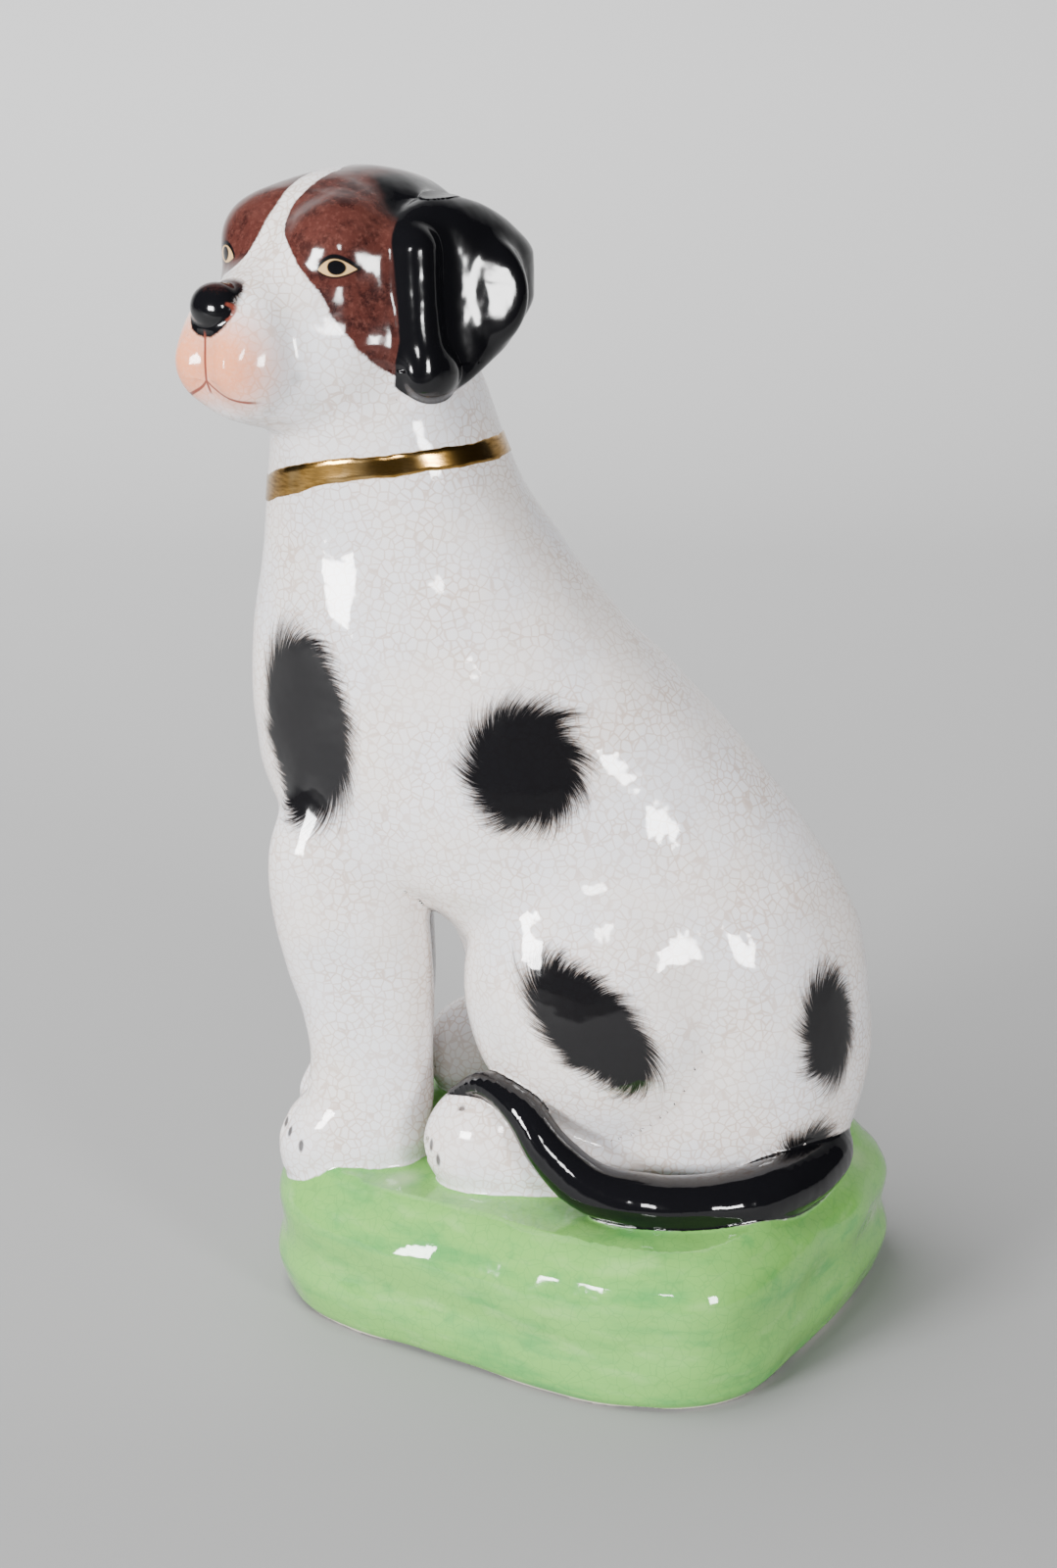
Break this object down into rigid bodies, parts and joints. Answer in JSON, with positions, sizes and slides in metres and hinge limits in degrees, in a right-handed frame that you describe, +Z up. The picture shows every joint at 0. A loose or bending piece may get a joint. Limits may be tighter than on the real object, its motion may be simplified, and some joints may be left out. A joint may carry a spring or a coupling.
{
  "type": "seated dog figure",
  "caption": "Seated glazed earthenware dog ornament with turned head, drop ears and gilt collar, on a hollow rounded green mound base.",
  "frame": {"origin": "centre of the base's underside", "axes": "+Z up, +X along the base's long side, -Y the front, which the head looks over; the body faces 25 degrees from -X towards -Y"},
  "size_m": [0.1699, 0.1452, 0.3021],
  "materials": {
    "white_glaze": "glossy crazed glaze with painted black spots",
    "painted_head": "glossy glaze with brown patches, a white blaze and a pink muzzle",
    "black_glaze": "glossy black",
    "green_glaze": "glossy mottled green",
    "gilding": "burnished gilding, brush marks",
    "bare_clay": "unglazed, matte"
  },
  "bodies": {
    "root": {"base_mound": "green_glaze", "base_floor": "bare_clay", "torso": "white_glaze", "head": "painted_head", "ear_left": "black_glaze", "ear_right": "black_glaze", "foreleg_left": "white_glaze", "foreleg_right": "white_glaze", "haunch_left": "white_glaze", "haunch_right": "white_glaze", "hind_foot_left": "white_glaze", "hind_foot_right": "white_glaze", "tail": "black_glaze", "collar_band": "gilding"}
  },
  "joints": []
}
